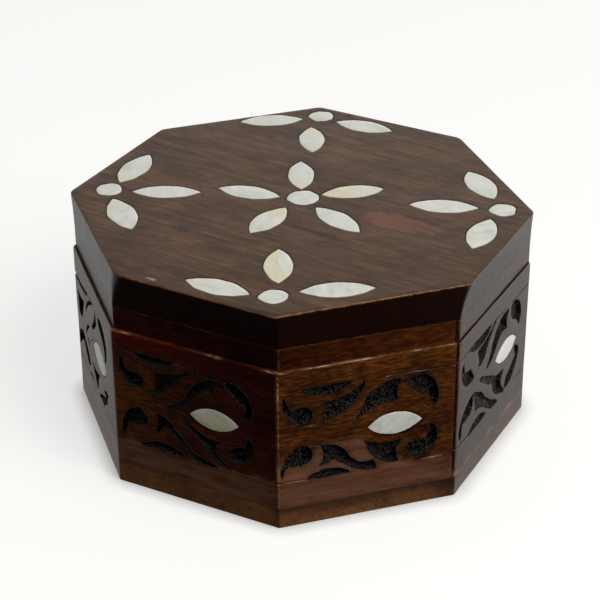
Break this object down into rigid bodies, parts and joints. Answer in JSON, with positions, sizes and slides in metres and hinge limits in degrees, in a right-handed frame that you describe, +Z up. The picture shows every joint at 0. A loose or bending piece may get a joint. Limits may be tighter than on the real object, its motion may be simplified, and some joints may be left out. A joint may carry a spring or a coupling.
{
  "type": "inlaid wooden box",
  "caption": "Octagonal hardwood box with a hinged lid, carved leaf panels on every side and shell flowers inlaid in the lid.",
  "frame": {"origin": "middle of the underside, where the box stands", "axes": "+Z up, -Y towards the front side, hinges at +Y"},
  "size_m": [0.14, 0.14, 0.075],
  "materials": {
    "wall_wood": "dark stained hardwood under glossy varnish",
    "rim_wood": "dark stained hardwood under glossy varnish",
    "lid_wood": "dark brown hardwood, satin varnish",
    "base_wood": "paler brown hardwood, worn varnish",
    "shell": "polished mother-of-pearl, stood in for by gloss plastic",
    "brass": "aged brass",
    "steel": "plain steel wire",
    "velvet": "dark red velvet"
  },
  "bodies": {
    "base": {"base_board": "base_wood", "base_brads": "steel", "base_pad": "velvet", "wall_front": "wall_wood", "wall_front_right": "wall_wood", "wall_right": "wall_wood", "wall_back_right": "wall_wood", "wall_back": "wall_wood", "wall_back_left": "wall_wood", "wall_left": "wall_wood", "wall_front_left": "wall_wood", "side_petal_front": "shell", "side_petal_front_right": "shell", "side_petal_right": "shell", "side_petal_back_right": "shell", "side_petal_back": "shell", "side_petal_back_left": "shell", "side_petal_left": "shell", "side_petal_front_left": "shell", "wall_leaf_left": "brass", "wall_leaf_right": "brass", "hinge_pin_left": "steel", "hinge_pin_right": "steel", "wall_leaf_screws": "brass"},
    "lid": {"lid_board": "lid_wood", "rim_front": "rim_wood", "rim_front_right": "rim_wood", "rim_right": "rim_wood", "rim_back_right": "rim_wood", "rim_back": "rim_wood", "rim_back_left": "rim_wood", "rim_left": "rim_wood", "rim_front_left": "rim_wood", "centre_disc": "shell", "centre_petal_1": "shell", "centre_petal_2": "shell", "centre_petal_3": "shell", "centre_petal_4": "shell", "centre_petal_5": "shell", "corner_disc_front": "shell", "corner_petal_front_1": "shell", "corner_petal_front_2": "shell", "corner_petal_front_3": "shell", "corner_disc_right": "shell", "corner_petal_right_1": "shell", "corner_petal_right_2": "shell", "corner_petal_right_3": "shell", "corner_disc_back": "shell", "corner_petal_back_1": "shell", "corner_petal_back_2": "shell", "corner_petal_back_3": "shell", "corner_disc_left": "shell", "corner_petal_left_1": "shell", "corner_petal_left_2": "shell", "corner_petal_left_3": "shell", "lid_leaf_left": "brass", "lid_leaf_right": "brass", "lid_leaf_screws": "brass"}
  },
  "joints": [
    {"name": "lid_hinge", "type": "hinge", "parent": "base", "child": "lid", "pos_m": [0, 0.0687, 0.0561], "axis": [-1, 0, 0], "range_deg": [0, 105]}
  ]
}
